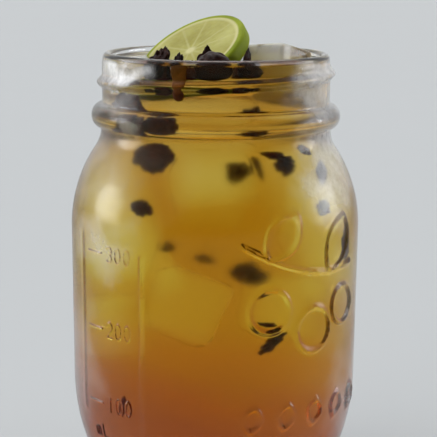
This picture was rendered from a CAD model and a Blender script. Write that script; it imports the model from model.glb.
# Iced cascara tea in a preserving jar, with lime, ice and coffee cherry husks.
# The shapes are worked out in millimetres from the surface the jar stands on, and turned to metres
# when a mesh is finished. The front is -Y, and an azimuth runs from there towards +X, in degrees.
import math

import bmesh
import bpy
import numpy as np
from mathutils import Euler, Matrix, Vector, noise


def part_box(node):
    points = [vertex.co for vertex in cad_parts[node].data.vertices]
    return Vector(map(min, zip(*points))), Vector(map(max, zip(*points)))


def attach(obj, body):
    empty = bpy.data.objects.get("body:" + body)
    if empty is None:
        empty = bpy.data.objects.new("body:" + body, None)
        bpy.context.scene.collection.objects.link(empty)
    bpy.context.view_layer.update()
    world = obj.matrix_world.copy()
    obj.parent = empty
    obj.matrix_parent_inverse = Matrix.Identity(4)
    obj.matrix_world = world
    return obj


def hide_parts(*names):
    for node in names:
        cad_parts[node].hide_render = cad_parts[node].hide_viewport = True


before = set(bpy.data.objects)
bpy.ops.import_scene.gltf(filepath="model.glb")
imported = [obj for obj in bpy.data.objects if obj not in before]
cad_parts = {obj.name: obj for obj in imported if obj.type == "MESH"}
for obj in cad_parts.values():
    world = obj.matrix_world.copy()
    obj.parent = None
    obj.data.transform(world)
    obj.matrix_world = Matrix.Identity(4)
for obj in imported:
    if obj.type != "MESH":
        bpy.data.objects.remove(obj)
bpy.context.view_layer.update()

mm = 0.001
noise.seed_set(2)  # the ice and husks take the same shapes at each run


# Helpers

def linear(hexColour):
    parts = [int(hexColour[i:i + 2], 16) / 255 for i in (1, 3, 5)]
    return tuple(c / 12.92 if c <= 0.04045 else ((c + 0.055) / 1.055) ** 2.4 for c in parts) + (1.0,)


def addNode(tree, kind, inputs=None, **settings):
    # An input is given a value, a socket to link, or a node whose first output it is linked to
    node = tree.nodes.new("ShaderNode" + kind)
    for key, value in settings.items():
        setattr(node, key, value)
    for key, value in (inputs or {}).items():
        if isinstance(value, bpy.types.Node):
            value = value.outputs[0]
        if isinstance(value, bpy.types.NodeSocket):
            tree.links.new(value, node.inputs[key])
        else:
            node.inputs[key].default_value = value
    return node


def startMaterial(name):
    # Gives the material, its nodes, and the place on the object that its patterns follow
    material = bpy.data.materials.new(name)
    material.use_nodes = True
    tree = material.node_tree
    tree.nodes.clear()
    return material, tree, addNode(tree, "TexCoord").outputs["Object"]


def setRamp(node, stops):
    ramp = node.color_ramp
    while len(ramp.elements) < len(stops):
        ramp.elements.new(0.5)
    for element, (position, colour) in zip(ramp.elements, stops):
        element.position = position
        element.color = linear(colour) if isinstance(colour, str) else (*colour, 1.0)


def finishMesh(bm, name, materials, smoothAngle):
    bmesh.ops.scale(bm, vec=(mm, mm, mm), verts=bm.verts)
    mesh = bpy.data.meshes.new(name)
    bm.to_mesh(mesh)
    bm.free()
    for material in materials:
        mesh.materials.append(material)
    mesh.shade_smooth()
    if smoothAngle:
        mesh.set_sharp_from_angle(angle=math.radians(smoothAngle))
    obj = bpy.data.objects.new(name, mesh)
    bpy.context.scene.collection.objects.link(obj)
    return obj


def ellipsePoints(centre, halfWidth, halfHeight, start=0.0, end=360.0, steps=24):
    turns = [math.radians(start + (end - start) * i / steps) for i in range(steps + 1)]
    return [(centre[0] + halfWidth * math.cos(a), centre[1] + halfHeight * math.sin(a)) for a in turns]


def arcPoints(centre, radius, start, end, steps):
    return ellipsePoints(centre, radius, radius, start, end, steps)


def spinProfile(profile, arcs, startAzimuth=0.0):
    # Spins a profile of (radius, height) through arcs of (degrees, steps) that make a full turn. Each
    # arc is spun as a wedge of a few steps, and the wedge is then copied round, which is far quicker
    bm = bmesh.new()
    azimuth = math.radians(startAzimuth)
    for degrees, steps in arcs:
        wedge = max(n for n in range(1, 17) if steps % n == 0)
        copies = steps // wedge - 1
        angle = math.radians(degrees)
        verts = [bm.verts.new((r * math.sin(azimuth), -r * math.cos(azimuth), h)) for r, h in profile]
        edges = [bm.edges.new(pair) for pair in zip(verts, verts[1:])]
        before = set(bm.faces)
        bmesh.ops.spin(bm, geom=verts + edges, cent=(0, 0, 0), axis=(0, 0, 1),
                       angle=angle * wedge / steps, steps=wedge)
        if copies:
            made = [face for face in bm.faces if face not in before]
            parts = dict.fromkeys(part for face in made for part in (*face.verts, *face.edges))
            bmesh.ops.spin(bm, geom=made + list(parts), cent=(0, 0, 0), axis=(0, 0, 1),
                           angle=angle * wedge * copies / steps, steps=copies, use_duplicate=True)
        azimuth += angle
    bmesh.ops.remove_doubles(bm, verts=bm.verts, dist=0.01)
    bmesh.ops.recalc_face_normals(bm, faces=bm.faces)
    return bm


# Camera, from the view of the photograph

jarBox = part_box("jar")
rimHeight = jarBox[1].z / mm
rim = Vector((0, 0, rimHeight))  # the middle of it

viewpoint = {
    "position": (1.01, -445.03, 32.9),  # from the middle of the rim
    "pitch": 10.316,
    "roll": 0.453,
    "lens": 128.46,
    "sensor": 36.0,
}


def makeCamera():
    pitch, roll = math.radians(viewpoint["pitch"]), math.radians(viewpoint["roll"])
    forward = Vector((0, math.cos(pitch), -math.sin(pitch)))
    level = Vector((1, 0, 0))
    upright = level.cross(forward)
    right = math.cos(roll) * level + math.sin(roll) * upright
    up = math.cos(roll) * upright - math.sin(roll) * level
    data = bpy.data.cameras.new("camera")
    data.lens = viewpoint["lens"]
    data.sensor_width = viewpoint["sensor"]
    data.clip_start = 0.01
    camera = bpy.data.objects.new("camera", data)
    turn = Matrix((right, up, -forward)).transposed().to_4x4()
    place = Vector(viewpoint["position"]) + rim
    camera.matrix_world = Matrix.Translation(place * mm) @ turn
    bpy.context.scene.collection.objects.link(camera)
    bpy.context.scene.camera = camera
    print("camera made")


# Stage: a pale floor and soft light

studio = {
    "floorRadius": 9000.0,
    "floorColours": ("#c0c3c5", "#c1c4c6"),  # pale paper, hardly uneven
    "roomBright": (0.7, 0.715, 0.73),  # light that comes from behind the jar and from its sides
    "roomDim": (0.02, 0.02, 0.022),  # and from behind the camera
    "dimFrom": -0.62,
    "brightFrom": 0.12,
}

# Name, azimuth and height that the light comes from and its width in degrees, strength, colour
softLights = (
    ("window_left", -97.0, 6.0, 28.0, 1.7, "#fbfcff"),
    ("window_right", 101.0, 7.0, 28.0, 1.3, "#fbfcff"),
    ("wall_left", -68.0, 34.0, 80.0, 0.9, "#fffdfa"),
    ("ceiling", 180.0, 66.0, 60.0, 1.2, "#fffefc"),
)


def makeStage():
    material, tree, place = startMaterial("paper_sweep")
    grain = addNode(tree, "TexNoise", {"Vector": place, "Scale": 5.0, "Detail": 2.0})
    ramp = addNode(tree, "ValToRGB", {"Fac": grain})
    setRamp(ramp, list(zip((0.0, 1.0), studio["floorColours"])))
    shader = addNode(tree, "BsdfPrincipled",
            {"Base Color": ramp, "Roughness": 0.9, "Specular IOR Level": 0.1})
    addNode(tree, "OutputMaterial", {"Surface": shader})
    bm = bmesh.new()
    bmesh.ops.create_circle(bm, cap_ends=True, radius=studio["floorRadius"], segments=64)
    floor = finishMesh(bm, "floor", [material], 0)
    world = bpy.data.worlds.new("soft_room")
    world.use_nodes = True
    tree = world.node_tree
    tree.nodes.clear()
    way = addNode(tree, "TexCoord").outputs["Generated"]
    split = addNode(tree, "SeparateXYZ", {"Vector": way})
    share = addNode(tree, "MapRange",
            {"Value": split.outputs["Y"], "From Min": studio["dimFrom"],
             "From Max": studio["brightFrom"]}, interpolation_type="SMOOTHSTEP")
    dim, bright = (*studio["roomDim"], 1.0), (*studio["roomBright"], 1.0)
    room = addNode(tree, "Mix", {0: share, 6: dim, 7: bright}, data_type="RGBA")
    back = addNode(tree, "Background", {"Color": room.outputs[2]})
    addNode(tree, "OutputWorld", {"Surface": back})
    bpy.context.scene.world = world
    for name, azimuth, height, width, strength, colour in softLights:
        data = bpy.data.lights.new(name, "SUN")
        data.angle = math.radians(width)
        data.energy = strength
        data.color = linear(colour)[:3]
        lamp = bpy.data.objects.new(name, data)
        across, up = math.radians(azimuth), math.radians(height)
        level = math.cos(up)
        source = Vector((math.sin(across) * level, -math.cos(across) * level, math.sin(up)))
        lamp.location = source
        lamp.rotation_euler = (-source).to_track_quat("-Z", "Y").to_euler()
        bpy.context.scene.collection.objects.link(lamp)
    bpy.context.scene.view_settings.view_transform = "Standard"
    # Light crosses the walls of the jar, the tea and several pieces of ice on its way
    bpy.context.scene.cycles.max_bounces = 40
    bpy.context.scene.cycles.transmission_bounces = 40
    print("stage and lights made")


# Jar

jar = {
    "height": rimHeight,
    "bodyRadius": jarBox[1].x / mm,
    "lipRadius": 32.2,
    "lipRounding": 1.1,
    "polishedLip": 0.9,  # how far down the lip is fire-polished outside
    "dryLip": 1.6,  # and inside, where it stays dry over the tea
    "neckRadius": 32.5,
    "beadDepth": 17.7,
    "beadHalfWidth": 3.3,
    "beadRadius": 35.55,
    "underBeadRadius": 32.85,
    "filletRadius": 9.2,
    "shoulderRadius": 39.8,
    "shoulderDepth": 49.2,
    "heelStart": 33.8,
    "heelRadius": 58.0,
    "heelBodyRadius": 40.95,
    "cornerRadius": 8.0,
    "pushUpRadius": 22.5,
    "pushUp": 2.4,
    "wall": 2.7,
    "mouthRadius": 30.0,
    "mouthDepth": 6.0,  # of the last ring inside the mouth before the lip
    "floor": 5.0,
    "floorCrown": 0.8,
    "floorCorner": 11.0,
    "threadPitch": 5.9,
    "threadDepthAtFront": 6.9,
    "threadHeight": 1.5,
    "threadHalfWidth": 2.1,
    "threadReach": 195.0,
    "threadFade": 25.0,
    "threadTop": 2.6,
    "threadBottom": 14.0,
    "firstAzimuth": -67.0,
    # Degrees and steps of each arc: the left rib, the volume scale, the sprig, and the plain back
    "arcs": ((9.0, 12), (26.0, 96), (109.0, 160), (216.0, 48)),
    "fineTop": 86.0,  # heights between which the raised marks lie
    "fineBottom": 19.0,
    "ring": 0.66,
    "digitRing": 0.22,
}

marks = {
    "markWidth": 0.7,
    "markRelief": 0.3,
    "digitWidth": 0.42,
    "digitShape": 0.24,  # half the width of a digit for its height
    "digitRelief": 0.32,
    "digitHeight": 4.2,
    "digitStep": 3.3,
    "digitsFromTick": 2.3,
    "scaleAzimuth": -53.0,
    "markHalfLength": 3.2,
    "firstMark": 30.9,
    "markStep": 21.3,
    "numbers": ("100", "200", "300"),
    "unitHeight": 20.6,
    # Lines of the two letters of the unit under the scale, as place across and points
    "unit": ((-1.6, ((0, 0), (0, 2.2), (0.5, 2.6), (1.0, 2.2), (1.0, 0))),
             (-0.6, ((0, 0), (0, 2.2), (0.5, 2.6), (1.0, 2.2), (1.0, 0))),
             (2.0, ((0, 3.6), (0, 0), (1.6, 0)))),
    # Azimuth, lower and upper end, width and relief of the two upright ribs beside the scale
    "ribs": ((-62.4, 28.0, 77.0, 2.4, 0.2), (-28.4, 20.0, 74.0, 1.1, 0.6)),
    "sprigAzimuth": 38.0,
    "sprigHeight": 65.0,
    "sprigWidth": 1.5,
    "sprigRelief": 0.72,
    # Across and up from the middle of the sprig: half the stem, the bases of its leaves with their
    # length, half width and lean, and the middles of its cherries with their radius
    "stemReach": 20,
    "stemRise": 5.0,
    "leaves": (((-13.0, 9.0), 15.0, 4.6, 38), ((8.0, 3.8), 17.0, 5.0, 30)),
    "cherries": ((-12.0, -5.0, 6.0), (2.5, -11.5, 6.2), (15.5, -6.5, 5.4)),
    "leafWidth": 1.45,
    "rowLeaf": (7.0, 2.6, 12),
    "leafRowHeight": 30.0,
    "leafRowAzimuths": (14.0, 28.0, 42.0, 56.0, 70.0),
}

mist = {
    "rough": (0.17, 0.25),  # from the wiped to the thick parts of it
    "neckShare": 0.8,  # the neck has less of it, from the shoulder up
    "neckFrom": 102.0,
    "neckTo": 110.0,
    "lipFrom": 2.3,  # depths under the rim between which the white patches end
    "lipTo": 0.9,
    "wander": 12.0,  # how far the edges of the patches wander
    "fade": (0.2, 1.25),  # shares of a patch's half size between which it thins away
    "patchDepth": (-14.0, 31.0),  # place along Y and half size there, of every patch
    # Patches where it stands white: place across and height, half sizes, strength
    "patches": ((-25.0, 123.0, 10.0, 5.2, 1.0), (31.0, 122.0, 12.0, 7.0, 0.66),
                (-27.0, 113.8, 9.0, 4.8, 0.3), (30.0, 113.0, 12.0, 8.5, 0.48),
                (-29.0, 94.0, 11.0, 13.0, 0.17), (31.0, 95.0, 10.5, 15.0, 0.6),
                (-29.0, 76.0, 11.0, 9.5, 0.36), (40.0, 62.0, 10.0, 17.0, 0.12),
                (-40.0, 42.0, 9.0, 22.0, 0.16), (41.0, 29.0, 11.0, 18.0, 0.32)),
}


def shoulderPoints(inset, filletSteps, steps):
    # Fillet under the neck and shoulder, from the top down, moved inwards
    reach = jar["shoulderRadius"] + jar["filletRadius"]
    angle = math.acos(1 - (jar["bodyRadius"] - jar["underBeadRadius"]) / reach)
    top = jar["height"] - jar["shoulderDepth"] + reach * math.sin(angle)
    turn = math.degrees(angle)
    fillet = arcPoints((jar["underBeadRadius"] + jar["filletRadius"], top),
                       jar["filletRadius"] + inset, 180, 180 + turn, filletSteps)
    centre = (jar["bodyRadius"] - jar["shoulderRadius"], jar["height"] - jar["shoulderDepth"])
    return fillet[:-1] + arcPoints(centre, jar["shoulderRadius"] - inset, turn, 0, steps)


def outerRadius(height):
    shoulder = jar["height"] - jar["shoulderDepth"]
    if height > shoulder:
        rise = height - shoulder
        across = math.sqrt(jar["shoulderRadius"] ** 2 - rise ** 2)
        return jar["bodyRadius"] - jar["shoulderRadius"] + across
    if height > jar["heelStart"]:
        share = (height - jar["heelStart"]) / (shoulder - jar["heelStart"])
        return jar["heelBodyRadius"] + (jar["bodyRadius"] - jar["heelBodyRadius"]) * share
    drop = jar["heelStart"] - height
    across = math.sqrt(jar["heelRadius"] ** 2 - drop ** 2)
    return jar["heelBodyRadius"] - jar["heelRadius"] + across


def markHeights():
    return [marks["firstMark"] + marks["markStep"] * i for i in range(len(marks["numbers"]))]


def outerPoints():
    # Outside of the jar, from the lip down to the middle of the base
    points = arcPoints((jar["lipRadius"] - jar["lipRounding"], jar["height"] - jar["lipRounding"]),
                       jar["lipRounding"], 90, 0, 5)
    rings = 25
    for i in range(rings):
        depth = jar["threadTop"] + (jar["threadBottom"] - jar["threadTop"]) * i / (rings - 1)
        points.append((jar["neckRadius"], jar["height"] - depth))
    for i in range(15):
        turn = math.pi * (i / 14 - 0.5)
        height = jar["height"] - jar["beadDepth"] - jar["beadHalfWidth"] * math.sin(turn)
        swell = (jar["beadRadius"] - jar["underBeadRadius"]) * math.cos(turn)
        points.append((jar["underBeadRadius"] + swell, height))
    points += [p for p in shoulderPoints(0, 6, 24) if p[1] > jar["fineTop"] + 0.3]
    height = jar["fineTop"]
    while height > jar["fineBottom"]:
        points.append((outerRadius(height), height))
        toMark = min(abs(height - m) for m in markHeights() + [marks["unitHeight"] + 1.8])
        height -= jar["digitRing"] if toMark < 0.7 * marks["digitHeight"] else jar["ring"]
    arm = jar["heelRadius"] - jar["cornerRadius"]
    joint = math.asin((jar["heelStart"] - jar["cornerRadius"]) / arm)
    cornerCentre = jar["heelBodyRadius"] - jar["heelRadius"] + arm * math.cos(joint)
    turn = -math.degrees(joint)
    heelCentre = (jar["heelBodyRadius"] - jar["heelRadius"], jar["heelStart"])
    heel = arcPoints(heelCentre, jar["heelRadius"], 0, turn, 16)
    points += [p for p in heel if p[1] < jar["fineBottom"] - 0.3]
    points += arcPoints((cornerCentre, jar["cornerRadius"]), jar["cornerRadius"], turn, -90, 8)[1:]
    # The narrow ring that the jar stands on, and the push-up inside it
    points += [(jar["pushUpRadius"] + 1.5, 0.0), (jar["pushUpRadius"] + 0.5, 0.25),
               (jar["pushUpRadius"] - 0.6, 0.9), (jar["pushUpRadius"] - 2.0, 0.62 * jar["pushUp"]),
               (0.6 * jar["pushUpRadius"], 0.9 * jar["pushUp"]), (0.0, jar["pushUp"])]
    return points


def innerPoints(inset, steps):
    # Inside of the jar from the middle of the floor up to the neck, moved inwards
    corner = jar["floorCorner"]
    floorRadius = outerRadius(jar["floor"] + corner) - jar["wall"] - corner
    points = [(0.0, jar["floor"] + inset + jar["floorCrown"]),
              (0.6 * floorRadius, jar["floor"] + inset + jar["floorCrown"] / 2)]
    points += arcPoints((floorRadius, jar["floor"] + corner), corner - inset, -90, 0, 8)
    top = jar["height"] - jar["shoulderDepth"]
    for i in range(1, steps):
        height = jar["floor"] + corner + (top - jar["floor"] - corner) * i / steps
        points.append((outerRadius(height) - jar["wall"] - inset, height))
    return points + shoulderPoints(jar["wall"] + inset, 6, 12)[::-1]


def threadHeight(azimuth, depth):
    most = 0.0
    for turn in (-360.0, 0.0, 360.0):
        along = azimuth + turn
        if abs(along) > jar["threadReach"]:
            continue
        centre = jar["threadDepthAtFront"] - jar["threadPitch"] * along / 360.0
        offset = abs(depth - centre) / jar["threadHalfWidth"]
        if offset < 1:
            end = min(1.0, (jar["threadReach"] - abs(along)) / jar["threadFade"])
            shape = (0.5 + 0.5 * math.cos(math.pi * offset)) ** 0.8
            most = max(most, jar["threadHeight"] * end * shape)
    return most


def digitLines(digit, left, base):
    half = marks["digitHeight"] / 2
    wide = marks["digitShape"] * marks["digitHeight"]
    middle = left + wide
    if digit == "0":
        return ellipsePoints((middle, base + half), wide, half)
    if digit == "1":
        return [(middle, base), (middle, base + 2 * half)]
    if digit == "2":
        hook = ellipsePoints((middle, base + 1.45 * half), wide, 0.55 * half, 160, -40, 12)
        return hook + [(left, base), (left + 2 * wide, base)]
    upper = ellipsePoints((middle, base + 1.5 * half), wide, 0.5 * half, 150, -70, 12)
    return upper + ellipsePoints((middle, base + 0.5 * half), wide, 0.5 * half, 70, -150, 12)


def leafLine(base, length, halfWidth, lean):
    turn = math.radians(lean)
    points = []
    for side in (1, -1):
        for i in range(13):
            share = i / 12 if side == 1 else 1 - i / 12
            wide = side * halfWidth * math.sin(math.pi * share) ** 0.8
            up = length * share
            points.append((base[0] + wide * math.cos(turn) + up * math.sin(turn),
                           base[1] - wide * math.sin(turn) + up * math.cos(turn)))
    return points


def markStrokes():
    # Every raised line as (azimuth, points across and up, width, height over the glass)
    strokes = []
    scale = marks["scaleAzimuth"]
    for height, number in zip(markHeights(), marks["numbers"]):
        tick = [(-marks["markHalfLength"], height), (marks["markHalfLength"], height)]
        strokes.append((scale, tick, marks["markWidth"], marks["markRelief"]))
        for place, digit in enumerate(number):
            left = marks["markHalfLength"] + marks["digitsFromTick"] + place * marks["digitStep"]
            line = digitLines(digit, left, height - marks["digitHeight"] / 2)
            strokes.append((scale, line, marks["digitWidth"], marks["digitRelief"]))
    for place, line in marks["unit"]:
        points = [(x + place, y + marks["unitHeight"]) for x, y in line]
        strokes.append((scale, points, marks["digitWidth"], marks["digitRelief"]))
    for azimuth, low, high, width, relief in marks["ribs"]:
        strokes.append((azimuth, [(0.0, low), (0.0, high)], width, relief))
    middle, height = marks["sprigAzimuth"], marks["sprigHeight"]
    reach = marks["stemReach"]
    across = range(-reach, reach + 1, 2)
    sprig = [[(x, height + marks["stemRise"] + 0.01 * x * x - 0.2 * x) for x in across]]
    sprig += [leafLine((x, height + up), *leaf) for (x, up), *leaf in marks["leaves"]]
    sprig += [ellipsePoints((x, height + up), size, size) for x, up, size in marks["cherries"]]
    strokes += [(middle, line, marks["sprigWidth"], marks["sprigRelief"]) for line in sprig]
    leaf = leafLine((0.0, marks["leafRowHeight"] - marks["rowLeaf"][0] / 2), *marks["rowLeaf"])
    for azimuth in marks["leafRowAzimuths"]:
        strokes.append((azimuth, leaf, marks["leafWidth"], marks["sprigRelief"]))
    return strokes


def reliefOf(across, heights):
    # Height of the raised lines over the glass, for points by arc length from the front and height
    raised = np.zeros(len(across))
    for azimuth, line, width, height in markStrokes():
        line = np.array(line, float)
        line[:, 0] += math.radians(azimuth) * jar["bodyRadius"]
        reach = 0.75 * width
        near = ((across > line[:, 0].min() - reach) & (across < line[:, 0].max() + reach)
                & (heights > line[:, 1].min() - reach) & (heights < line[:, 1].max() + reach))
        if not near.any():
            continue
        points = np.stack([across[near], heights[near]], 1)
        best = np.full(len(points), 1e9)
        for start, end in zip(line, line[1:]):
            way = end - start
            share = np.clip(((points - start) @ way) / max(way @ way, 1e-9), 0, 1)
            best = np.minimum(best, np.linalg.norm(points - start - share[:, None] * way, axis=1))
        shape = 0.5 + 0.5 * np.cos(math.pi * np.clip(best / reach, 0, 1))
        raised[near] = np.maximum(raised[near], height * shape)
    return raised


def makeMistedGlass():
    # Soda-lime glass, pressed and cold: fine condensation blurs what is behind it, in drifts 26 mm
    # across and beads of 0.7 mm, which are drawn coarser than real ones so that they show
    material, tree, place = startMaterial("misted_soda_lime_glass")
    drifts = addNode(tree, "TexNoise",
            {"Vector": place, "Scale": 38.0, "Detail": 4.0, "Roughness": 0.6})
    beads = addNode(tree, "TexNoise", {"Vector": place, "Scale": 1400.0, "Detail": 1.0})
    bump = addNode(tree, "Bump", {"Height": beads, "Strength": 0.12, "Distance": 0.0001})
    height = addNode(tree, "SeparateXYZ", {"Vector": place}).outputs["Z"]
    thin, thick = mist["rough"]
    rough = addNode(tree, "MapRange",
            {"Value": drifts, "From Min": 0.3, "From Max": 0.7, "To Min": thin, "To Max": thick})
    onNeck = addNode(tree, "MapRange",
            {"Value": height, "From Min": mist["neckFrom"] * mm, "From Max": mist["neckTo"] * mm,
             "To Min": 1.0, "To Max": mist["neckShare"]})
    rough = addNode(tree, "Math", {0: rough, 1: onNeck}, operation="MULTIPLY")
    # It stands thick and white on the sides of the neck and shoulder, and thin at the front and low down
    wander = addNode(tree, "TexNoise", {"Vector": place, "Scale": 70.0, "Detail": 4.0})
    aside = addNode(tree, "VectorMath", {0: wander.outputs["Color"], 1: (0.5, 0.5, 0.5)},
            operation="SUBTRACT")
    aside = addNode(tree, "VectorMath", {0: aside, "Scale": 2 * mist["wander"] * mm},
            operation="SCALE")
    moved = addNode(tree, "VectorMath", {0: place, 1: aside}, operation="ADD")
    y, halfDepth = mist["patchDepth"]
    full, gone = mist["fade"]
    white = 0.0
    for x, z, halfWidth, halfHeight, strength in mist["patches"]:
        scale = (1 / (halfWidth * mm), 1 / (halfDepth * mm), 1 / (halfHeight * mm))
        shift = (-x / halfWidth, -y / halfDepth, -z / halfHeight)
        nearby = addNode(tree, "Mapping", {"Vector": moved, "Location": shift, "Scale": scale})
        far = addNode(tree, "VectorMath", {0: nearby}, operation="LENGTH")
        patch = addNode(tree, "MapRange",
                {"Value": far.outputs["Value"], "From Min": full, "From Max": gone,
                 "To Min": strength, "To Max": 0.0}, interpolation_type="SMOOTHSTEP")
        white = addNode(tree, "Math", {0: white, 1: patch}, operation="MAXIMUM")
    # Streaks in the white are 4 mm across
    streaks = addNode(tree, "TexNoise",
            {"Vector": place, "Scale": 230.0, "Detail": 6.0, "Roughness": 0.75})
    uneven = addNode(tree, "MapRange",
            {"Value": streaks, "From Min": 0.38, "From Max": 0.6, "To Min": 0.66})
    low, high = jar["height"] - mist["lipFrom"], jar["height"] - mist["lipTo"]
    lip = addNode(tree, "MapRange",
            {"Value": height, "From Min": low * mm, "From Max": high * mm,
             "To Min": 1.0, "To Max": 0.0})
    for part in (uneven, lip):
        white = addNode(tree, "Math", {0: white, 1: part}, operation="MULTIPLY")
    seeThrough = addNode(tree, "Math", {0: 1.0, 1: white}, operation="SUBTRACT")
    shader = addNode(tree, "BsdfPrincipled",
            {"Base Color": linear("#ffffff"), "Roughness": rough, "IOR": 1.5, "Normal": bump,
             "Specular Tint": linear("#606060"), "Transmission Weight": seeThrough})
    addNode(tree, "OutputMaterial", {"Surface": shader})
    return material


def makeClearMaterial(name, colour, index, tint, grain, strength, depth):
    # What is clear all through, and hardly uneven on its face: grain is the scale and detail of that
    material, tree, place = startMaterial(name)
    waves = addNode(tree, "TexNoise", {"Vector": place, "Scale": grain[0], "Detail": grain[1]})
    bump = addNode(tree, "Bump", {"Height": waves, "Strength": strength, "Distance": depth})
    shader = addNode(tree, "BsdfPrincipled",
            {"Base Color": linear(colour), "Roughness": 0.0, "IOR": index, "Normal": bump,
             "Specular Tint": linear(tint), "Transmission Weight": 1.0})
    addNode(tree, "OutputMaterial", {"Surface": shader})
    return material


def makeJar():
    lipMiddle = (jar["mouthRadius"] + jar["lipRounding"], jar["height"] - jar["lipRounding"])
    inner = innerPoints(0.0, 10)
    inner.append((jar["mouthRadius"], jar["height"] - jar["beadDepth"]))
    inner.append((jar["mouthRadius"], jar["height"] - jar["mouthDepth"]))
    inner += arcPoints(lipMiddle, jar["lipRounding"], 180, 90, 6)[:-1]
    bm = spinProfile(inner + outerPoints(), jar["arcs"], jar["firstAzimuth"])
    points = np.array([v.co[:] for v in bm.verts])
    radii = np.hypot(points[:, 0], points[:, 1])
    azimuths = np.degrees(np.arctan2(points[:, 0], -points[:, 1]))
    glass = np.array([outerRadius(min(height, jar["fineTop"])) for height in points[:, 2]])
    outside = radii > glass - 1.0
    panel = outside & (points[:, 2] < jar["fineTop"]) & (points[:, 2] > jar["fineBottom"])
    push = np.zeros(len(points))
    push[panel] = reliefOf(np.radians(azimuths[panel]) * jar["bodyRadius"], points[panel, 2])
    depths = jar["height"] - points[:, 2]
    neck = (np.abs(radii - jar["neckRadius"]) < 0.05) & (depths < jar["threadBottom"] + 0.1)
    for i in np.nonzero(neck)[0]:
        push[i] = threadHeight(azimuths[i], depths[i])
    for vert, radius, out in zip(bm.verts, radii, push):
        if out > 0:
            vert.co.x *= 1 + out / radius
            vert.co.y *= 1 + out / radius
    for face in bm.faces:
        centre = face.calc_center_median()
        radial = Vector((centre.x, centre.y, 0))
        facesOut = face.normal.dot(radial) > 0 or centre.z < jar["pushUp"] + 0.5
        lip = centre.z > jar["height"] - (jar["polishedLip"] if facesOut else jar["dryLip"])
        face.material_index = 2 if lip else 0 if facesOut else 1
    # The same glass where it is wet inside, or fire-polished and dry at the lip, which glints more
    waves = ((60.0, 1.0), 0.05, 0.0004)
    wet = makeClearMaterial("clear_soda_lime_glass", "#ffffff", 1.5, "#707070", *waves)
    polished = makeClearMaterial("fire_polished_lip_glass", "#ffffff", 1.5, "#ffffff", *waves)
    piece = finishMesh(bm, "glass_jar", [makeMistedGlass(), wet, polished], 50)
    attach(piece, "root")
    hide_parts("jar")
    print("jar made,", len(piece.data.polygons), "faces")


# Ice

# Name, centre with the height from the floor, size, turn
sunkIce = (
    ("a", (-0.8, -19.8, 90.2), (17.0, 16.5, 17.0), (78, 68, 55)),
    ("b", (17.8, 16.3, 86.6), (25.6, 17.5, 16.5), (65, 48, 110)),
    ("c", (-23.6, -2.9, 78.8), (26.5, 16.5, 23.5), (4, 42, -75)),
    ("d", (-7.0, -20.5, 58.5), (18.0, 17.0, 18.0), (-31, -62, 40)),
    ("e", (-24.4, -7.6, 49.6), (16.5, 16.5, 16.5), (128, -80, 174)),
    ("f", (24.8, -9.1, 79.1), (19.3, 16.5, 16.5), (95, 46, -102)),
    ("g", (-1.7, 4.6, 91.1), (20.0, 16.5, 19.4), (-41, 87, -25)),
    ("h", (26.3, 8.7, 63.7), (16.5, 16.5, 16.5), (173, 69, 104)),
    ("i", (-17.3, 15.1, 63.4), (17.7, 16.8, 18.7), (44, -23, 5)),
    ("j", (16.0, -12.8, 57.2), (17.0, 17.0, 17.0), (-92, 23, 66)),
    ("k", (-3.0, 10.0, 110.0), (20.0, 16.0, 8.0), (-4, 7, 24)),
)

ice = {
    "edge": 2.4,
    "melt": 0.6,  # how uneven melting has left the faces
    "waves": (0.07, 0.25),  # of that, broad and fine, for each mm
    "fineShare": 0.25,
    "cuts": 5,
    "gap": 0.15,  # between a piece and its hollow in the tea
    "index": 1.006,  # against the tea
}


def iceBody(size, seed, shrink=0.0):
    bm = bmesh.new()
    bmesh.ops.create_cube(bm, size=1.0)
    bmesh.ops.scale(bm, vec=[s - 2 * shrink for s in size], verts=bm.verts)
    bmesh.ops.bevel(bm, geom=bm.edges[:], offset=ice["edge"], offset_type="OFFSET", affect="EDGES",
                    segments=3, profile=0.5, material=-1)
    bmesh.ops.subdivide_edges(bm, edges=[e for e in bm.edges if e.calc_length() > 4.0],
                              cuts=ice["cuts"], use_grid_fill=True)
    bmesh.ops.triangulate(bm, faces=[f for f in bm.faces if len(f.verts) > 4])
    offset = Vector((seed * 5.3, seed * 2.9, seed * 7.1))
    broad, fine = ice["waves"]
    for vert in bm.verts:
        shift = noise.noise_vector(vert.co * broad + offset) * ice["melt"]
        vert.co += shift + noise.noise_vector(vert.co * fine + offset) * ice["fineShare"] * ice["melt"]
    return bm


def placeBody(bm, centre, turn):
    rotation = Euler(math.radians(a) for a in turn).to_matrix().to_4x4()
    bmesh.ops.transform(bm, matrix=Matrix.Translation(Vector(centre)) @ rotation, verts=bm.verts)
    return bm


def joinHollow(bm, extra):
    # Adds another bmesh to this one, turned inside out, and gives the faces that came with it
    mesh = bpy.data.meshes.new("joined")
    bmesh.ops.reverse_faces(extra, faces=extra.faces)
    extra.to_mesh(mesh)
    extra.free()
    before = len(bm.faces)
    bm.from_mesh(mesh)
    bpy.data.meshes.remove(mesh)
    bm.faces.ensure_lookup_table()
    return bm.faces[before:]


def makeSunkIce():
    # Clear ice under the surface: its index is so near the tea's that only its edges show, and faintly
    cracks = ((220.0, 3.0), 0.3, 0.0005)
    material = makeClearMaterial("clear_ice_in_tea", "#fdfefd", ice["index"], "#ffffff", *cracks)
    for seed, (name, centre, size, turn) in enumerate(sunkIce):
        body = placeBody(iceBody(size, seed, ice["gap"]), centre, turn)
        piece = finishMesh(body, "sunk_ice_" + name, [material], 30)
        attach(piece, "root")
    print("sunk ice made")


floatingIce = {
    "size": (14.0, 14.0, 15.6),
    "centre": (17.5, 4.4, -6.6),
    "turn": (-6.5, 15.0, 45.0),
    "edge": 1.3,
    "uneven": 0.5,
    "cloudAcross": (10.0, 28.0),  # places across between which it turns from cloudy to clear
    "cloud": (0.22, -0.1),
}


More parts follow.
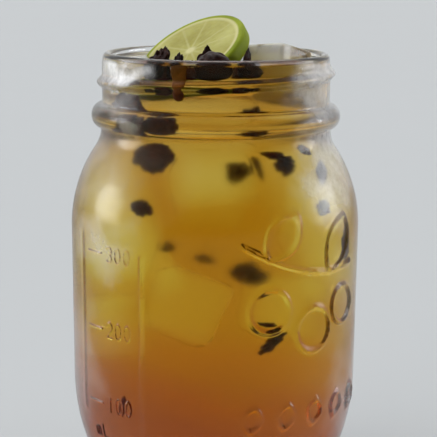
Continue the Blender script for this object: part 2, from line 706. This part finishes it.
def floatingIceBody(shrink):
    bm = bmesh.new()
    bmesh.ops.create_cube(bm, size=1.0)
    for i, vert in enumerate(bm.verts):
        shift = noise.noise_vector(Vector((i * 1.7, 0.3, 5.1))) * floatingIce["uneven"]
        vert.co = Vector(c * (s - 2 * shrink) for c, s in zip(vert.co, floatingIce["size"])) + shift
    bmesh.ops.bevel(bm, geom=bm.edges[:], offset=floatingIce["edge"], offset_type="OFFSET",
                    affect="EDGES", segments=4, profile=0.5, material=-1)
    centre = Vector(floatingIce["centre"]) + rim
    return placeBody(bm, centre, floatingIce["turn"])


def makeFloatingIce():
    # Wet ice at the surface, cloudy with fine air bubbles in drifts 7 mm across
    material, tree, place = startMaterial("cloudy_wet_ice")
    waves = addNode(tree, "TexNoise", {"Vector": place, "Scale": 150.0, "Detail": 3.0})
    split = addNode(tree, "SeparateXYZ", {"Vector": place})
    left, right = floatingIce["cloudAcross"]
    most, least = floatingIce["cloud"]
    leftward = addNode(tree, "MapRange",
            {"Value": split.outputs["X"], "From Min": left * mm, "From Max": right * mm,
             "To Min": most, "To Max": least})
    bubbles = addNode(tree, "Math", {0: waves, 1: leftward}, operation="ADD")
    cloud = addNode(tree, "ValToRGB", {"Fac": bubbles})
    setRamp(cloud, [(0.42, "#c0ab8c"), (0.55, "#fbfaf2")])
    clear = addNode(tree, "MapRange",
            {"Value": bubbles, "From Min": 0.4, "From Max": 0.6, "To Min": 0.85, "To Max": 0.5})
    bump = addNode(tree, "Bump", {"Height": waves, "Strength": 0.25, "Distance": 0.0006})
    shader = addNode(tree, "BsdfPrincipled",
            {"Base Color": cloud, "Roughness": 0.03, "IOR": 1.31, "Normal": bump,
             "Transmission Weight": clear, "Subsurface Weight": 1.0, "Subsurface Scale": 0.006,
             "Subsurface Radius": (1.0, 1.0, 1.0)})
    addNode(tree, "OutputMaterial", {"Surface": shader})
    piece = finishMesh(floatingIceBody(0.0), "floating_ice", [material], 35)
    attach(piece, "root")
    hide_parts("ice_cube")
    print("floating ice made")


# Tea

tea = {
    "depth": 2.1,  # of its surface under the rim
    "meniscus": 0.6,
    "meniscusWidth": 1.8,
    "intoWall": 0.35,
    "iceLap": 0.12,  # how far the floating ice reaches into it
    "segments": 160,
    "index": 1.33,
    "hollowIndex": 1.0045,  # where it meets sunk ice
    "absorbColour": (0.87, 0.665, 0.0, 1.0),  # takes up 7 of red, 18 of green and 55 of blue a metre
    "absorbDensity": 55.0,
    "swirl": 8.0,  # how far up and down the layers of the brew wander
    "tilt": 0.12,
    "rampTop": 120.0,  # height at which the ramp of its colours ends
}


def makeTeaMaterial():
    # Brewed coffee cherry tea: melted ice thins it to gold at the top, and below it is rose brown
    material, tree, place = startMaterial("brewed_cascara_tea")
    swirl = addNode(tree, "TexNoise", {"Vector": place, "Scale": 22.0, "Detail": 2.0})
    split = addNode(tree, "SeparateXYZ", {"Vector": place})
    lifted = addNode(tree, "MapRange",
            {"Value": swirl, "To Min": -tea["swirl"] * mm, "To Max": tea["swirl"] * mm})
    level = addNode(tree, "Math", {0: split.outputs["Z"], 1: lifted}, operation="ADD")
    tilted = addNode(tree, "Math", {0: split.outputs["X"], 1: tea["tilt"]}, operation="MULTIPLY")
    height = addNode(tree, "Math", {0: level, 1: tilted}, operation="ADD")
    share = addNode(tree, "MapRange", {"Value": height, "From Max": tea["rampTop"] * mm})
    ramp = addNode(tree, "ValToRGB", {"Fac": share})
    setRamp(ramp, [(0.0, (0.64, 0.33, 0.84)), (0.21, (0.7, 0.39, 0.84)), (0.285, (0.93, 0.60, 0.46)),
                   (0.345, (1.0, 0.93, 0.32)), (0.46, (1.0, 1.0, 0.3)), (0.67, (1.0, 1.0, 0.45)),
                   (0.85, (1.0, 1.0, 0.72)), (0.93, (0.86, 0.81, 0.53))])
    inIce = addNode(tree, "Attribute", attribute_name="iceWall").outputs["Fac"]
    tint = addNode(tree, "Mix", {0: inIce, 6: ramp, 7: (1, 1, 1, 1)}, data_type="RGBA")
    index = addNode(tree, "MapRange",
            {"Value": inIce, "To Min": tea["index"], "To Max": tea["hollowIndex"]})
    shader = addNode(tree, "BsdfPrincipled",
            {"Base Color": tint.outputs[2], "Roughness": 0.0, "IOR": index,
             "Specular Tint": linear("#606060"), "Transmission Weight": 1.0})
    dye = addNode(tree, "VolumeAbsorption",
            {"Color": tea["absorbColour"], "Density": tea["absorbDensity"]})
    addNode(tree, "OutputMaterial", {"Surface": shader, "Volume": dye})
    return material


def makeTea():
    top = jar["height"] - tea["depth"]
    radius = jar["mouthRadius"] + tea["intoWall"]
    points = innerPoints(-tea["intoWall"], 14)
    points.append((radius, jar["height"] - jar["beadDepth"]))
    points.append((radius, top + tea["meniscus"]))
    level = jar["mouthRadius"] - tea["meniscusWidth"]
    for i in range(1, 9):
        share = i / 8
        climbed = tea["meniscus"] * (1 - share) ** 2.2
        points.append((jar["mouthRadius"] - tea["meniscusWidth"] * share, top + climbed))
    points += [(level * share, top) for share in (0.8, 0.5, 0.2, 0.0)]
    bm = spinProfile(points, ((360.0, tea["segments"]),))
    blank = finishMesh(bm, "tea_blank", [], 0)
    cutter = finishMesh(floatingIceBody(tea["iceLap"]), "tea_cutter", [], 0)
    cut = blank.modifiers.new("cut", "BOOLEAN")
    cut.object = cutter
    cut.operation = "DIFFERENCE"
    cut.solver = "EXACT"
    graph = bpy.context.evaluated_depsgraph_get()
    mesh = bpy.data.meshes.new_from_object(blank.evaluated_get(graph))
    bm = bmesh.new()
    bm.from_mesh(mesh)
    bmesh.ops.scale(bm, vec=(1 / mm, 1 / mm, 1 / mm), verts=bm.verts)
    for helper in (blank, cutter):
        bpy.data.objects.remove(helper)
    bpy.data.meshes.remove(mesh)
    wall = bm.verts.layers.float.new("iceWall")
    for seed, (name, centre, size, turn) in enumerate(sunkIce):
        for face in joinHollow(bm, placeBody(iceBody(size, seed), centre, turn)):
            for vert in face.verts:
                vert[wall] = 1.0
    piece = finishMesh(bm, "tea_drink", [makeTeaMaterial()], 35)
    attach(piece, "root")
    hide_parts("tea")
    print("tea made,", len(piece.data.polygons), "faces")


# Lime

lime = {
    "radius": 17.0,
    "thickness": 4.5,
    "edge": 0.9,
    "peel": 2.2,  # to the middle of the pith
    "rind": 1.9,
    "centre": (-7.5, 2.5, 0.3),
    "normal": (-0.434, -0.390, 0.812),
    "segments": 180,
    "wedges": 10,
    "core": 1.3,
    "coreEdge": 0.6,
    "bend": 0.12,  # how unevenly the wedges are cut, in radians
    "skinWidth": 0.55,
    "pithWidth": 0.7,
    "skinShare": 0.3,  # how pale the skins and the core are against the pith
    "coreShare": 0.8,
    "rindEdge": 0.4,
    "sunken": 0.16,  # how far the flesh lies under its skins
    "pulp": 0.12,
}


def limeProfile():
    points = [(0.0, -lime["thickness"])]
    points += [(lime["radius"] * s, -lime["thickness"]) for s in (0.2, 0.4, 0.6, 0.75, 0.85, 0.92)]
    flat = lime["radius"] - lime["edge"]
    points += arcPoints((flat, -lime["thickness"] + lime["edge"]), lime["edge"], -90, 0, 4)
    points += arcPoints((flat, -lime["edge"]), lime["edge"], 0, 90, 4)
    steps = 30
    return points + [(flat * (1 - i / steps), 0.0) for i in range(1, steps + 1)]


def limeMask(azimuth, radius):
    # 1 on the pale skins between the wedges and round the core, 0 in the juicy flesh
    step = 2 * math.pi / lime["wedges"]
    nearest = round(azimuth / step)
    bend = lime["bend"] * math.sin(nearest * 2.4)
    offset = abs(azimuth - (nearest + bend) * step) * radius
    skin = max(0.0, 1 - offset / lime["skinWidth"])
    ring = max(0.0, 1 - abs(radius - (lime["radius"] - lime["peel"])) / lime["pithWidth"])
    core = max(0.0, min(1.0, (lime["core"] + lime["coreEdge"] - radius) / lime["coreEdge"]))
    inFlesh = radius < lime["radius"] - lime["peel"]
    return max(lime["skinShare"] * skin if inFlesh else 0.0, ring, lime["coreShare"] * core)


def makeLimeMaterial():
    # Cut lime: wet translucent flesh with grains of pulp 1 mm across, pale skins and a waxy green peel
    material, tree, place = startMaterial("cut_lime")
    skin = addNode(tree, "Attribute", attribute_name="limeSkin").outputs["Fac"]
    peel = addNode(tree, "Attribute", attribute_name="limePeel").outputs["Fac"]
    pulp = addNode(tree, "TexVoronoi", {"Vector": place, "Scale": 900.0}, feature="SMOOTH_F1")
    patches = addNode(tree, "TexNoise", {"Vector": place, "Scale": 75.0, "Detail": 4.0})
    flesh = addNode(tree, "ValToRGB", {"Fac": patches})
    setRamp(flesh, [(0.35, "#9c9650"), (0.65, "#bcba75")])
    pale = addNode(tree, "Mix", {0: skin, 6: flesh, 7: linear("#d0cc9a")}, data_type="RGBA")
    green = addNode(tree, "ValToRGB", {"Fac": patches})
    setRamp(green, [(0.35, "#788720"), (0.65, "#96a22c")])
    both = addNode(tree, "Mix", {0: peel, 6: pale.outputs[2], 7: green}, data_type="RGBA")
    bump = addNode(tree, "Bump", {"Height": pulp, "Strength": 0.2, "Distance": 0.0002})
    shader = addNode(tree, "BsdfPrincipled",
            {"Base Color": both.outputs[2], "Roughness": 0.45, "IOR": 1.38, "Normal": bump,
             "Specular IOR Level": 0.06, "Subsurface Weight": 0.35, "Subsurface Scale": 0.002,
             "Subsurface Radius": (1.0, 0.9, 0.3)})
    addNode(tree, "OutputMaterial", {"Surface": shader})
    return material


def makeLime():
    bm = spinProfile(limeProfile(), ((360.0, lime["segments"]),))
    skin = bm.verts.layers.float.new("limeSkin")
    peel = bm.verts.layers.float.new("limePeel")
    for vert in bm.verts:
        radius = math.hypot(vert.co.x, vert.co.y)
        mask = limeMask(math.atan2(vert.co.y, vert.co.x) % math.tau, radius)
        vert[skin] = mask
        vert[peel] = min(1.0, max(0.0, (radius - lime["radius"] + lime["rind"]) / lime["rindEdge"]))
        faceShare = 1.0 if radius < lime["radius"] - lime["peel"] else 0.0
        flesh = faceShare * (1 - mask)
        pulp = noise.noise(Vector((vert.co.x * 0.9, vert.co.y * 0.9, 3.0))) * lime["pulp"] * flesh
        if vert.co.z > -0.01:
            vert.co.z += pulp - lime["sunken"] * flesh
        elif vert.co.z < -lime["thickness"] + 0.01:
            vert.co.z += lime["sunken"] * flesh - pulp
    turn = Vector(lime["normal"]).to_track_quat("Z", "Y").to_matrix().to_4x4()
    centre = Vector(lime["centre"]) + rim
    bmesh.ops.transform(bm, matrix=Matrix.Translation(centre) @ turn, verts=bm.verts)
    piece = finishMesh(bm, "lime_wheel", [makeLimeMaterial()], 60)
    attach(piece, "root")
    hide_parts("lime_slice")
    print("lime made")


# Husks

# Node, centre from the middle of the rim, half sizes, turn, taper of the top, dent, wrinkles, seed
topHusks = (
    ("cascara_husk_left_tall", (-15.4, -19.2, -2.0), (2.9, 3.4, 4.9), (8, 18, 20), 0.30, 0.30, 0.30, 3),
    ("cascara_husk_left_low", (-10.5, -22.0, -2.6), (1.6, 2.9, 4.1), (-10, 8, -15), 0.20, 0.20, 0.30, 11),
    ("cascara_husk_round", (-0.5, -22.9, -3.0), (5.2, 4.7, 4.9), (0, 6, 0), 0.0, 0.12, 0.07, 24),
    ("cascara_husk_pointed", (-2.4, -16.3, -1.4), (3.0, 1.1, 4.6), (-6, 0, 4), 0.85, 0.0, 0.2, 35),
    ("cascara_husk_almond", (8.4, -23.6, -3.5), (3.3, 2.6, 2.7), (0, 28, 22), 0.10, 0.15, 0.2, 47),
    ("cascara_husk_flake", (8.6, -10.2, -1.0), (0.9, 2.2, 2.7), (4, 8, -20), 0.35, 0.10, 0.2, 58),
)

husk = {
    "folds": (0.2, 0.4, 0.4),  # taper, dent and wrinkles of most husks in the tea
    "firstSeed": 71,
    "creases": ((5.0, 0.35), (11.0, 0.14)),  # scale and depth, of the coarse ones and the fine
}

# Name, centre with the height from the floor, half sizes, turn, and folds where they differ
sunkHusks = (
    ("a", (-14.7, -12.5, 97.0), (5.8, 2.2, 5.5), (-20, 6, -31), 0.2, 0.3, 0.22),
    ("b", (-17.7, -17.5, 83.8), (3.0, 1.8, 2.0), (0, 10, 0), 0.2, 0.4, 0.3),
    ("c", (5.2, -5.0, 89.5), (3.0, 2.2, 2.6), (20, 10, 0)),
    ("d", (14.5, -15.0, 97.5), (3.4, 1.6, 1.7), (0, 18, 0)),
    ("e", (16.7, -12.5, 94.0), (2.6, 1.6, 2.9), (0, -12, 0)),
    ("f", (27.9, -20.0, 84.9), (2.0, 1.5, 2.1), (0, 20, 0)),
    ("g", (7.2, 12.0, 62.7), (3.9, 2.0, 3.5), (5, 20, 0)),
    ("h", (14.7, -26.0, 49.0), (4.6, 1.3, 1.5), (0, -42, 0)),
    ("i", (13.7, -27.0, 54.3), (3.2, 0.8, 0.8), (0, 6, 0)),
    ("j", (-23.3, -24.0, 30.1), (1.1, 0.9, 2.7), (0, 8, 0)),
    ("k", (34.2, -14.0, 74.5), (2.4, 1.2, 4.8), (0, 0, 72)),
    ("l", (-1.9, 18.0, 66.2), (2.2, 1.2, 1.2), (0, 12, 0)),
    ("m", (-9.9, 4.5, 71.0), (1.8, 1.0, 1.0), (0, -10, 0)),
    ("n", (22.8, -17.5, 100.5), (2.6, 1.4, 1.4), (0, 30, 0)),
    ("o", (-21.8, -13.5, 111.4), (7.4, 1.8, 6.0), (0, 0, -58), 0.2, 0.3, 0.3),
    ("p", (-13.6, -16.8, 107.3), (5.4, 1.6, 2.3), (0, 0, -38), 0.2, 0.3, 0.3),
    ("q", (26.9, -13.0, 92.8), (2.0, 1.2, 3.2), (0, 0, 60)),
    ("r", (-6.6, -25.6, 122.1), (2.0, 1.0, 2.0), (0, 0, 0), 0.1, 0.2, 0.3),
    ("s", (-12.6, -15.2, 120.2), (2.4, 1.2, 3.2), (0, 0, -30), 0.1, 0.3, 0.3),
    ("t", (5.8, -19.0, 121.6), (2.2, 1.5, 2.4), (0, 0, 0), 0.1, 0.3, 0.3),
    ("u", (8.5, -4.5, 109.5), (3.4, 1.4, 2.2), (0, 0, 0)),
    ("v", (9.6, -6.0, 91.5), (0.9, 0.8, 3.8), (0, -16, 0), 0.2, 0.4, 0.3),
)


def huskBody(halfSizes, taper, dent, wrinkle, seed, detail):
    bm = bmesh.new()
    bmesh.ops.create_icosphere(bm, subdivisions=detail, radius=1.0)
    offset = Vector((seed * 3.1, seed * 1.7, seed * 0.9))
    dentSide = noise.noise_vector(offset).normalized()
    for vert in bm.verts:
        unit = vert.co.copy()
        fold = abs(noise.noise(unit * 2.2 + offset)) * 1.6 - 0.5
        crease = sum(abs(noise.noise(unit * scale + offset)) * depth
                     for scale, depth in husk["creases"])
        size = 1 + wrinkle * (fold + crease - 0.12) - dent * max(0.0, unit.dot(dentSide)) ** 3
        narrow = 1 - taper * max(0.0, unit.z) ** 1.3
        shape = Vector((unit.x * narrow, unit.y * narrow, unit.z)) * size
        vert.co = Vector(c * s for c, s in zip(shape, halfSizes))
    return bm


def makeHuskMaterial(name, stops, gloss):
    # Dried coffee cherry skin, soaked: nearly black, red brown on its folds, with veins 2.4 mm apart
    material, tree, place = startMaterial(name)
    veins = addNode(tree, "TexNoise",
            {"Vector": place, "Scale": 420.0, "Detail": 5.0, "Roughness": 0.65})
    colour = addNode(tree, "ValToRGB", {"Fac": veins})
    setRamp(colour, stops)
    bump = addNode(tree, "Bump", {"Height": veins, "Strength": 0.5, "Distance": 0.0004})
    shader = addNode(tree, "BsdfPrincipled",
            {"Base Color": colour, "Roughness": 0.5, "Normal": bump, "Specular IOR Level": 0.1,
             "Coat Weight": gloss, "Coat Roughness": 0.1, "Coat IOR": 1.33})
    addNode(tree, "OutputMaterial", {"Surface": shader})
    return material


# Colours of the husks at the top, of those in the tea, and of the one shred that light comes through
wetColours = [(0.3, "#140603"), (0.6, "#2c1007"), (0.85, "#5a240e")]
soakedColours = [(0.3, "#34170f"), (0.6, "#57291a"), (0.85, "#6e3a22")]
thinColours = [(0.3, "#7a2c10"), (0.6, "#9c4016"), (0.85, "#b5531f")]


def makeHusks():
    material = makeHuskMaterial("wet_cherry_skin", wetColours, 0.12)
    thin = makeHuskMaterial("thin_cherry_skin", thinColours, 0.0)
    sunk = makeHuskMaterial("soaked_cherry_skin", soakedColours, 0.0)
    for node, centre, halfSizes, turn, taper, dent, wrinkle, seed in topHusks:
        middle = Vector(centre) + rim
        body = placeBody(huskBody(halfSizes, taper, dent, wrinkle, seed, 6), middle, turn)
        piece = finishMesh(body, node.replace("cascara_", "wet_"), [material], 60)
        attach(piece, "root")
        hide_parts(node)
    for seed, (name, centre, halfSizes, turn, *folds) in enumerate(sunkHusks, husk["firstSeed"]):
        body = placeBody(huskBody(halfSizes, *(folds or husk["folds"]), seed, 5), centre, turn)
        piece = finishMesh(body, "sunk_husk_" + name, [thin if name == "j" else sunk], 60)
        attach(piece, "root")
    print("husks made")


drip = {
    "azimuth": -17.6,
    "top": 1.2,  # depths under the rim
    "bottom": 11.0,
    "colourTop": 1.0,  # depth where the ramp of its colours ends
    "across": 48,
    "down": 120,
    "bed": 0.12,  # how far its back reaches into the glass
    "halfWidth": 2.5,  # of the trail, and how much it loses down to the drop
    "drawnIn": 0.9,
    "thinnest": 0.62,  # shares of its length: where it is thinnest, and where the drop is
    "dropMiddle": 0.82,
    "dropReach": 0.18,
    "dropHalfWidth": 1.6,
    "film": 0.35,
    "dropBulge": 0.75,
    "wander": 0.35,
}


def dripWidth(share):
    # Half the width of the trail: broad at the rim, drawn in at the thread and round in its last drop
    trail = drip["halfWidth"] - drip["drawnIn"] * min(1.0, share / drip["thinnest"])
    fromDrop = (share - drip["dropMiddle"]) / drip["dropReach"]
    drop = drip["dropHalfWidth"] * math.sqrt(max(0.0, 1 - fromDrop ** 2))
    blend = min(1.0, max(0.0, (share - 0.6) / 0.1))
    start = min(1.0, share / 0.05)
    end = min(1.0, (1 - share) / 0.03)
    return (trail * (1 - blend) + drop * blend) * (0.3 + 0.7 * start) * end * min(1.0, share / 0.01)


def dripThickness(share):
    bulge = drip["dropBulge"] * math.exp(-((share - 0.84) / 0.11) ** 2)
    return drip["film"] * min(1.0, share / 0.08) + bulge


def neckRadius(azimuth, depth):
    lip = max(0.0, jar["lipRounding"] - depth)
    rounding = math.sqrt(max(0.0, jar["lipRounding"] ** 2 - lip ** 2))
    edge = jar["lipRadius"] - jar["lipRounding"] + rounding
    if depth <= jar["threadTop"]:
        return edge + (jar["neckRadius"] - jar["lipRadius"]) * depth / jar["threadTop"]
    return jar["neckRadius"] + threadHeight(azimuth, depth)


def makeDrip():
    # Tea that ran over the rim and down the outside, with a dark drop of husk juice at its end
    material, tree, place = startMaterial("drip_of_tea")
    split = addNode(tree, "SeparateXYZ", {"Vector": place})
    low, high = jar["height"] - drip["bottom"], jar["height"] - drip["colourTop"]
    share = addNode(tree, "MapRange",
            {"Value": split.outputs["Z"], "From Min": low * mm, "From Max": high * mm})
    ramp = addNode(tree, "ValToRGB", {"Fac": share})
    setRamp(ramp, [(0.0, "#6b3208"), (0.25, "#733a08"), (0.42, "#9c6414"), (1.0, "#80500f")])
    shader = addNode(tree, "BsdfPrincipled",
            {"Base Color": ramp, "Roughness": 0.04, "IOR": 1.33,
             "Specular Tint": linear("#808080"), "Transmission Weight": 0.72})
    addNode(tree, "OutputMaterial", {"Surface": shader})
    bm = bmesh.new()
    bmesh.ops.create_uvsphere(bm, u_segments=drip["across"], v_segments=drip["down"], radius=1.0)
    for vert in bm.verts:
        share = math.acos(max(-1.0, min(1.0, vert.co.z))) / math.pi
        reach = max(1e-6, math.hypot(vert.co.x, vert.co.y))
        side, out = vert.co.x / reach, -vert.co.y / reach
        depth = drip["top"] + (drip["bottom"] - drip["top"]) * share
        wander = drip["wander"] * noise.noise(Vector((share * 3.0, 0.0, 4.0)))
        azimuth = drip["azimuth"] + math.degrees((wander + dripWidth(share) * side) / jar["neckRadius"])
        ends = min(1.0, share / 0.05, (1 - share) / 0.03)
        thickness = dripThickness(share) if out > 0 else drip["bed"]
        radius = neckRadius(azimuth, depth) + out * ends * thickness
        angle = math.radians(azimuth)
        vert.co = (radius * math.sin(angle), -radius * math.cos(angle), jar["height"] - depth)
    piece = finishMesh(bm, "tea_drip", [material], 0)
    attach(piece, "root")
    print("drip made")


makeCamera()
makeStage()
makeJar()
makeSunkIce()
makeFloatingIce()
makeTea()
makeLime()
makeHusks()
makeDrip()
